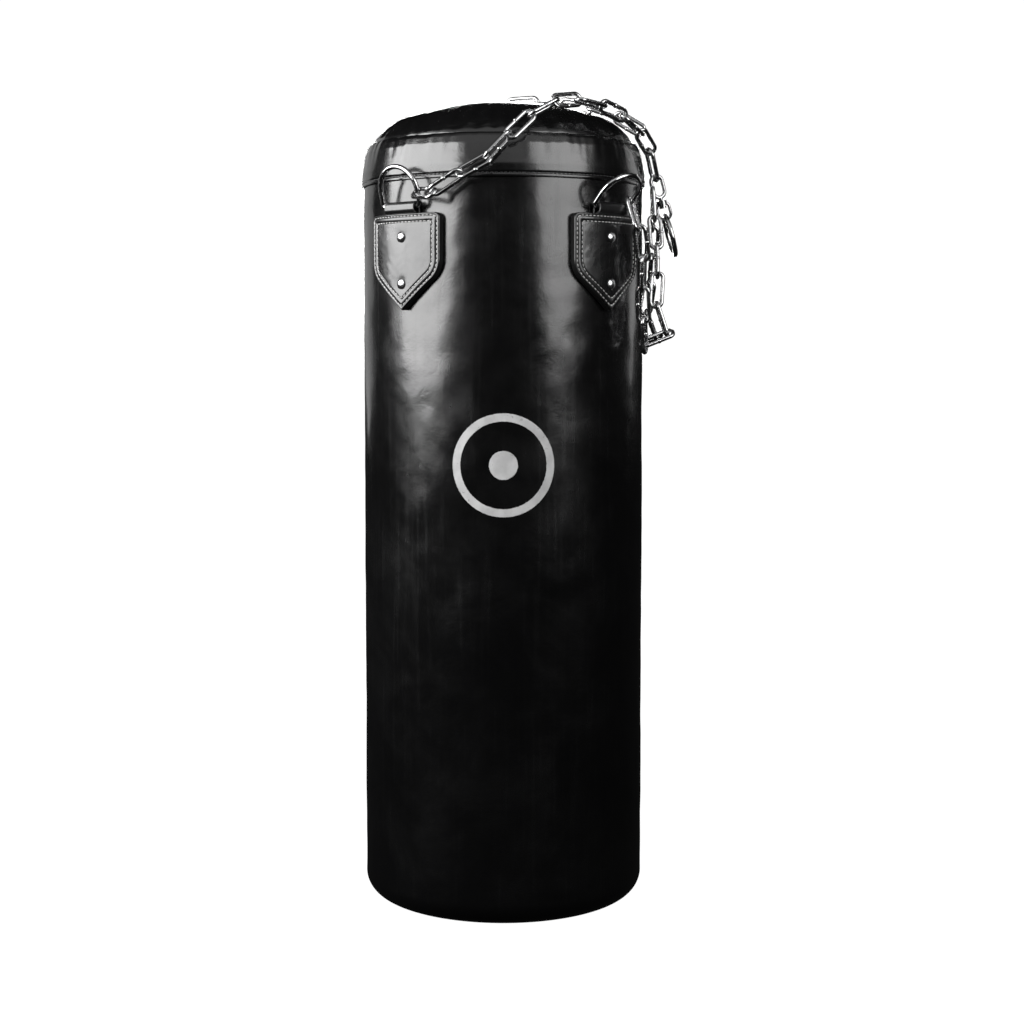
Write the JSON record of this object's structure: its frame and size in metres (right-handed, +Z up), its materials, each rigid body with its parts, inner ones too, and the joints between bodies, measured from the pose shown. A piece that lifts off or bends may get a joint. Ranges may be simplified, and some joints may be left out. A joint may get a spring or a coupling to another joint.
{
  "type": "hanging heavy bag",
  "caption": "Round leather heavy bag with a domed top, standing on its base, its hanging chains, swivel and ring draped over the top.",
  "frame": {"origin": "centre of the flat base, where the bag stands", "axes": "+Z up along the bag, -Y towards the front, +X to the right, the side where the chains hang down"},
  "size_m": [0.3955, 0.3757, 1.0126],
  "materials": {
    "body_leather": "glossy black",
    "cap_leather": "glossy black, wrinkled",
    "tab_leather": "satin black, stitched",
    "strap_leather": "satin black",
    "textile_filling": "packed textile",
    "rivet_steel": "plated",
    "chain_chrome": "bright plated",
    "ring_chrome": "polished",
    "swivel_chrome": "bright plated"
  },
  "bodies": {
    "bag": {"leather_sleeve": "body_leather", "base_panel": "body_leather", "cap_band": "cap_leather", "top_panel": "cap_leather", "filling": "textile_filling", "tab_patches": "tab_leather", "hanger_straps": "strap_leather", "rivets": "rivet_steel"},
    "front_left_d_ring": {"front_left_d_ring": "ring_chrome"},
    "front_left_link_01": {"front_left_link_01": "chain_chrome"},
    "front_left_link_02": {"front_left_link_02": "chain_chrome"},
    "front_left_link_03": {"front_left_link_03": "chain_chrome"},
    "front_left_link_04": {"front_left_link_04": "chain_chrome"},
    "front_left_link_05": {"front_left_link_05": "chain_chrome"},
    "front_left_link_06": {"front_left_link_06": "chain_chrome"},
    "front_left_link_07": {"front_left_link_07": "chain_chrome"},
    "front_left_link_08": {"front_left_link_08": "chain_chrome"},
    "front_left_link_09": {"front_left_link_09": "chain_chrome"},
    "front_left_link_10": {"front_left_link_10": "chain_chrome"},
    "front_left_link_11": {"front_left_link_11": "chain_chrome"},
    "back_left_d_ring": {"back_left_d_ring": "ring_chrome"},
    "back_left_link_01": {"back_left_link_01": "chain_chrome"},
    "back_left_link_02": {"back_left_link_02": "chain_chrome"},
    "back_left_link_03": {"back_left_link_03": "chain_chrome"},
    "back_left_link_04": {"back_left_link_04": "chain_chrome"},
    "back_left_link_05": {"back_left_link_05": "chain_chrome"},
    "back_left_link_06": {"back_left_link_06": "chain_chrome"},
    "back_left_link_07": {"back_left_link_07": "chain_chrome"},
    "back_left_link_08": {"back_left_link_08": "chain_chrome"},
    "back_left_link_09": {"back_left_link_09": "chain_chrome"},
    "back_left_link_10": {"back_left_link_10": "chain_chrome"},
    "back_left_link_11": {"back_left_link_11": "chain_chrome"},
    "front_right_d_ring": {"front_right_d_ring": "ring_chrome"},
    "front_right_link_01": {"front_right_link_01": "chain_chrome"},
    "front_right_link_02": {"front_right_link_02": "chain_chrome"},
    "front_right_link_03": {"front_right_link_03": "chain_chrome"},
    "front_right_link_04": {"front_right_link_04": "chain_chrome"},
    "front_right_link_05": {"front_right_link_05": "chain_chrome"},
    "front_right_link_06": {"front_right_link_06": "chain_chrome"},
    "front_right_link_07": {"front_right_link_07": "chain_chrome"},
    "front_right_link_08": {"front_right_link_08": "chain_chrome"},
    "front_right_link_09": {"front_right_link_09": "chain_chrome"},
    "front_right_link_10": {"front_right_link_10": "chain_chrome"},
    "front_right_link_11": {"front_right_link_11": "chain_chrome"},
    "back_right_d_ring": {"back_right_d_ring": "ring_chrome"},
    "back_right_link_01": {"back_right_link_01": "chain_chrome"},
    "back_right_link_02": {"back_right_link_02": "chain_chrome"},
    "back_right_link_03": {"back_right_link_03": "chain_chrome"},
    "back_right_link_04": {"back_right_link_04": "chain_chrome"},
    "back_right_link_05": {"back_right_link_05": "chain_chrome"},
    "back_right_link_06": {"back_right_link_06": "chain_chrome"},
    "back_right_link_07": {"back_right_link_07": "chain_chrome"},
    "back_right_link_08": {"back_right_link_08": "chain_chrome"},
    "back_right_link_09": {"back_right_link_09": "chain_chrome"},
    "back_right_link_10": {"back_right_link_10": "chain_chrome"},
    "back_right_link_11": {"back_right_link_11": "chain_chrome"},
    "master_link": {"master_link": "chain_chrome"},
    "swivel_eye": {"swivel_eye": "swivel_chrome"},
    "swivel_body": {"swivel_body": "swivel_chrome"},
    "hang_ring": {"hang_ring": "ring_chrome"}
  },
  "joints": [
    {"name": "front_left_d_ring_hinge", "type": "hinge", "parent": "bag", "child": "front_left_d_ring", "pos_m": [-0.11973, -0.13773, 0.857], "axis": [0.7547, -0.6561, 0], "range_deg": [0, 60]},
    {"name": "front_left_link_01_hinge", "type": "hinge", "parent": "front_left_d_ring", "child": "front_left_link_01", "pos_m": [-0.10013, -0.16029, 0.87141], "axis": [0.5623, 0.4407, -0.6997], "range_deg": [0, 40]},
    {"name": "front_left_link_02_hinge", "type": "hinge", "parent": "front_left_link_01", "child": "front_left_link_02", "pos_m": [-0.07773, -0.1853, 0.87365], "axis": [0.2621, -0.7753, -0.5746], "range_deg": [0, 40]},
    {"name": "front_left_link_03_hinge", "type": "hinge", "parent": "front_left_link_02", "child": "front_left_link_03", "pos_m": [-0.04654, -0.18917, 0.89311], "axis": [0.3436, 0.7761, -0.5287], "range_deg": [0, 30]},
    {"name": "front_left_link_04_hinge", "type": "hinge", "parent": "front_left_link_03", "child": "front_left_link_04", "pos_m": [-0.01579, -0.18937, 0.91281], "axis": [0.7026, -0.4297, -0.5672], "range_deg": [0, 40]},
    {"name": "front_left_link_05_hinge", "type": "hinge", "parent": "front_left_link_04", "child": "front_left_link_05", "pos_m": [0.00943, -0.1826, 0.93892], "axis": [0.0281, -0.928, 0.3715], "range_deg": [0, 10]},
    {"name": "front_left_link_06_hinge", "type": "hinge", "parent": "front_left_link_05", "child": "front_left_link_06", "pos_m": [0.03575, -0.17234, 0.96256], "axis": [0.549, -0.0969, -0.8302], "range_deg": [0, 40]},
    {"name": "front_left_link_07_hinge", "type": "hinge", "parent": "front_left_link_06", "child": "front_left_link_07", "pos_m": [0.0635, -0.15442, 0.97882], "axis": [0.5931, -0.7689, 0.2388], "range_deg": [0, 10]},
    {"name": "front_left_link_08_hinge", "type": "hinge", "parent": "front_left_link_07", "child": "front_left_link_08", "pos_m": [0.09204, -0.13144, 0.98191], "axis": [-0.0717, -0.0933, -0.993], "range_deg": [0, 40]},
    {"name": "front_left_link_09_hinge", "type": "hinge", "parent": "front_left_link_08", "child": "front_left_link_09", "pos_m": [0.12132, -0.10922, 0.97771], "axis": [0.596, -0.7834, -0.1764], "range_deg": [0, 40]},
    {"name": "front_left_link_10_hinge", "type": "hinge", "parent": "front_left_link_09", "child": "front_left_link_10", "pos_m": [0.14784, -0.08645, 0.96616], "axis": [-0.5923, -0.0063, -0.8057], "range_deg": [0, 40]},
    {"name": "front_left_link_11_hinge", "type": "hinge", "parent": "front_left_link_10", "child": "front_left_link_11", "pos_m": [0.16878, -0.06023, 0.95056], "axis": [0.4512, -0.6777, -0.5806], "range_deg": [0, 40]},
    {"name": "back_left_d_ring_hinge", "type": "hinge", "parent": "bag", "child": "back_left_d_ring", "pos_m": [-0.12677, 0.13128, 0.857], "axis": [-0.7193, -0.6947, 0], "range_deg": [0, 60]},
    {"name": "back_left_link_01_hinge", "type": "hinge", "parent": "back_left_d_ring", "child": "back_left_link_01", "pos_m": [-0.13596, 0.14077, 0.90324], "axis": [-0.4588, -0.8571, -0.2343], "range_deg": [0, 40]},
    {"name": "back_left_link_02_hinge", "type": "hinge", "parent": "back_left_link_01", "child": "back_left_link_02", "pos_m": [-0.13174, 0.12917, 0.9374], "axis": [-0.787, 0.2695, 0.555], "range_deg": [0, 40]},
    {"name": "back_left_link_03_hinge", "type": "hinge", "parent": "back_left_link_02", "child": "back_left_link_03", "pos_m": [-0.11779, 0.11094, 0.96603], "axis": [-0.3836, -0.9183, -0.098], "range_deg": [0, 40]},
    {"name": "back_left_link_04_hinge", "type": "hinge", "parent": "back_left_link_03", "child": "back_left_link_04", "pos_m": [-0.08891, 0.09702, 0.98345], "axis": [-0.2132, -0.0152, 0.9769], "range_deg": [0, 40]},
    {"name": "back_left_link_05_hinge", "type": "hinge", "parent": "back_left_link_04", "child": "back_left_link_05", "pos_m": [-0.05393, 0.0883, 0.99095], "axis": [-0.3945, -0.9134, -0.1003], "range_deg": [0, 40]},
    {"name": "back_left_link_06_hinge", "type": "hinge", "parent": "back_left_link_05", "child": "back_left_link_06", "pos_m": [-0.02097, 0.07326, 0.99831], "axis": [-0.1617, -0.0385, 0.9861], "range_deg": [0, 40]},
    {"name": "back_left_link_07_hinge", "type": "hinge", "parent": "back_left_link_06", "child": "back_left_link_07", "pos_m": [0.01222, 0.05765, 1.00315], "axis": [-0.4467, -0.8882, -0.1079], "range_deg": [0, 40]},
    {"name": "back_left_link_08_hinge", "type": "hinge", "parent": "back_left_link_07", "child": "back_left_link_08", "pos_m": [0.04528, 0.04114, 1.00214], "axis": [0.0449, -0.1427, 0.9887], "range_deg": [0, 40]},
    {"name": "back_left_link_09_hinge", "type": "hinge", "parent": "back_left_link_08", "child": "back_left_link_09", "pos_m": [0.07905, 0.02649, 0.99849], "axis": [-0.3743, -0.9201, -0.1158], "range_deg": [0, 40]},
    {"name": "back_left_link_10_hinge", "type": "hinge", "parent": "back_left_link_09", "child": "back_left_link_10", "pos_m": [0.1128, 0.01375, 0.99065], "axis": [0.2687, -0.2271, 0.9361], "range_deg": [0, 40]},
    {"name": "back_left_link_11_hinge", "type": "hinge", "parent": "back_left_link_10", "child": "back_left_link_11", "pos_m": [0.14641, 0.004, 0.97864], "axis": [-0.3327, -0.9339, -0.1311], "range_deg": [0, 40]},
    {"name": "front_right_d_ring_hinge", "type": "hinge", "parent": "bag", "child": "front_right_d_ring", "pos_m": [0.12677, -0.13128, 0.857], "axis": [-0.7193, -0.6947, 0], "range_deg": [0, 30]},
    {"name": "front_right_link_01_hinge", "type": "hinge", "parent": "front_right_d_ring", "child": "front_right_link_01", "pos_m": [0.15181, -0.11474, 0.86276], "axis": [-0.8348, 0.4104, -0.3671], "range_deg": [-10, 40]},
    {"name": "front_right_link_02_hinge", "type": "hinge", "parent": "front_right_link_01", "child": "front_right_link_02", "pos_m": [0.16224, -0.12357, 0.82918], "axis": [-0.3333, -0.9073, -0.2563], "range_deg": [0, 15]},
    {"name": "front_right_link_03_hinge", "type": "hinge", "parent": "front_right_link_02", "child": "front_right_link_03", "pos_m": [0.16754, -0.11545, 0.79354], "axis": [0.942, -0.3321, -0.0494], "range_deg": [0, 40]},
    {"name": "front_right_link_04_hinge", "type": "hinge", "parent": "front_right_link_03", "child": "front_right_link_04", "pos_m": [0.1673, -0.11067, 0.75685], "axis": [0.3357, 0.9306, 0.1458], "range_deg": [0, 10]},
    {"name": "front_right_link_05_hinge", "type": "hinge", "parent": "front_right_link_04", "child": "front_right_link_05", "pos_m": [0.16919, -0.10562, 0.72025], "axis": [0.9409, -0.3385, -0.006], "range_deg": [0, 20]},
    {"name": "front_right_link_06_hinge", "type": "hinge", "parent": "front_right_link_05", "child": "front_right_link_06", "pos_m": [0.17287, -0.09499, 0.69732], "axis": [0.2028, 0.5777, -0.7906], "range_deg": [0, 40]},
    {"name": "front_right_link_07_hinge", "type": "hinge", "parent": "front_right_link_06", "child": "front_right_link_07", "pos_m": [0.19701, -0.08313, 0.71218], "axis": [0.9516, 0.0739, 0.2982], "range_deg": [0, 40]},
    {"name": "front_right_link_08_hinge", "type": "hinge", "parent": "front_right_link_07", "child": "front_right_link_08", "pos_m": [0.18573, -0.07919, 0.74719], "axis": [-0.0295, 0.9881, -0.151], "range_deg": [0, 40]},
    {"name": "front_right_link_09_hinge", "type": "hinge", "parent": "front_right_link_08", "child": "front_right_link_09", "pos_m": [0.18767, -0.07355, 0.78369], "axis": [0.9996, 0.0299, 0.0007], "range_deg": [0, 40]},
    {"name": "front_right_link_10_hinge", "type": "hinge", "parent": "front_right_link_09", "child": "front_right_link_10", "pos_m": [0.1873, -0.06217, 0.81889], "axis": [-0.0281, 0.9455, -0.3245], "range_deg": [0, 40]},
    {"name": "front_right_link_11_hinge", "type": "hinge", "parent": "front_right_link_10", "child": "front_right_link_11", "pos_m": [0.18558, -0.05022, 0.85387], "axis": [0.9983, 0.0432, 0.0396], "range_deg": [0, 40]},
    {"name": "back_right_d_ring_hinge", "type": "hinge", "parent": "bag", "child": "back_right_d_ring", "pos_m": [0.11973, 0.13773, 0.857], "axis": [0.7547, -0.6561, 0], "range_deg": [0, 30]},
    {"name": "back_right_link_01_hinge", "type": "hinge", "parent": "back_right_d_ring", "child": "back_right_link_01", "pos_m": [0.14603, 0.123, 0.86418], "axis": [0.7525, 0.5787, 0.3145], "range_deg": [-10, 40]},
    {"name": "back_right_link_02_hinge", "type": "hinge", "parent": "back_right_link_01", "child": "back_right_link_02", "pos_m": [0.15863, 0.12536, 0.8297], "axis": [0.486, -0.8101, 0.3278], "range_deg": [0, 40]},
    {"name": "back_right_link_03_hinge", "type": "hinge", "parent": "back_right_link_02", "child": "back_right_link_03", "pos_m": [0.16468, 0.11485, 0.79476], "axis": [0.8666, 0.4953, -0.0608], "range_deg": [0, 15]},
    {"name": "back_right_link_04_hinge", "type": "hinge", "parent": "back_right_link_03", "child": "back_right_link_04", "pos_m": [0.16566, 0.10867, 0.75829], "axis": [0.4983, -0.8525, 0.1581], "range_deg": [-5, 5]},
    {"name": "back_right_link_05_hinge", "type": "hinge", "parent": "back_right_link_04", "child": "back_right_link_05", "pos_m": [0.16812, 0.10333, 0.72176], "axis": [0.8646, 0.5021, -0.0177], "range_deg": [-5, 5]},
    {"name": "back_right_link_06_hinge", "type": "hinge", "parent": "back_right_link_05", "child": "back_right_link_06", "pos_m": [0.17414, 0.09209, 0.69738], "axis": [-0.2023, 0.3803, 0.9025], "range_deg": [0, 40]},
    {"name": "back_right_link_07_hinge", "type": "hinge", "parent": "back_right_link_06", "child": "back_right_link_07", "pos_m": [0.1976, 0.07706, 0.70897], "axis": [-0.931, 0.2112, -0.2977], "range_deg": [-5, 40]},
    {"name": "back_right_link_08_hinge", "type": "hinge", "parent": "back_right_link_07", "child": "back_right_link_08", "pos_m": [0.18475, 0.06688, 0.74193], "axis": [0.1693, 0.9724, 0.1605], "range_deg": [0, 40]},
    {"name": "back_right_link_09_hinge", "type": "hinge", "parent": "back_right_link_08", "child": "back_right_link_09", "pos_m": [0.18904, 0.06018, 0.77806], "axis": [-0.9825, 0.1538, 0.1047], "range_deg": [0, 40]},
    {"name": "back_right_link_10_hinge", "type": "hinge", "parent": "back_right_link_09", "child": "back_right_link_10", "pos_m": [0.19058, 0.04663, 0.81245], "axis": [0.1812, 0.9185, 0.3515], "range_deg": [0, 40]},
    {"name": "back_right_link_11_hinge", "type": "hinge", "parent": "back_right_link_10", "child": "back_right_link_11", "pos_m": [0.19025, 0.03346, 0.84703], "axis": [-0.9832, 0.1775, 0.0433], "range_deg": [-10, 40]},
    {"name": "master_link_hinge", "type": "hinge", "parent": "front_left_link_11", "child": "master_link", "pos_m": [0.18153, -0.03252, 0.92812], "axis": [-0.8895, -0.2886, -0.3543], "range_deg": [0, 40]},
    {"name": "swivel_eye_hinge", "type": "hinge", "parent": "master_link", "child": "swivel_eye", "pos_m": [0.19055, -0.02186, 0.89681], "axis": [0.3232, -0.9454, -0.0413], "range_deg": [0, 40]},
    {"name": "swivel_spin", "type": "hinge", "parent": "swivel_eye", "child": "swivel_body", "pos_m": [0.19368, -0.02029, 0.88534], "axis": [0.2614, 0.1311, -0.9563], "continuous": true},
    {"name": "hang_ring_hinge", "type": "hinge", "parent": "swivel_body", "child": "hang_ring", "pos_m": [0.20309, -0.01557, 0.85091], "axis": [0.9646, 0, 0.2637], "range_deg": [-10, 45]}
  ]
}
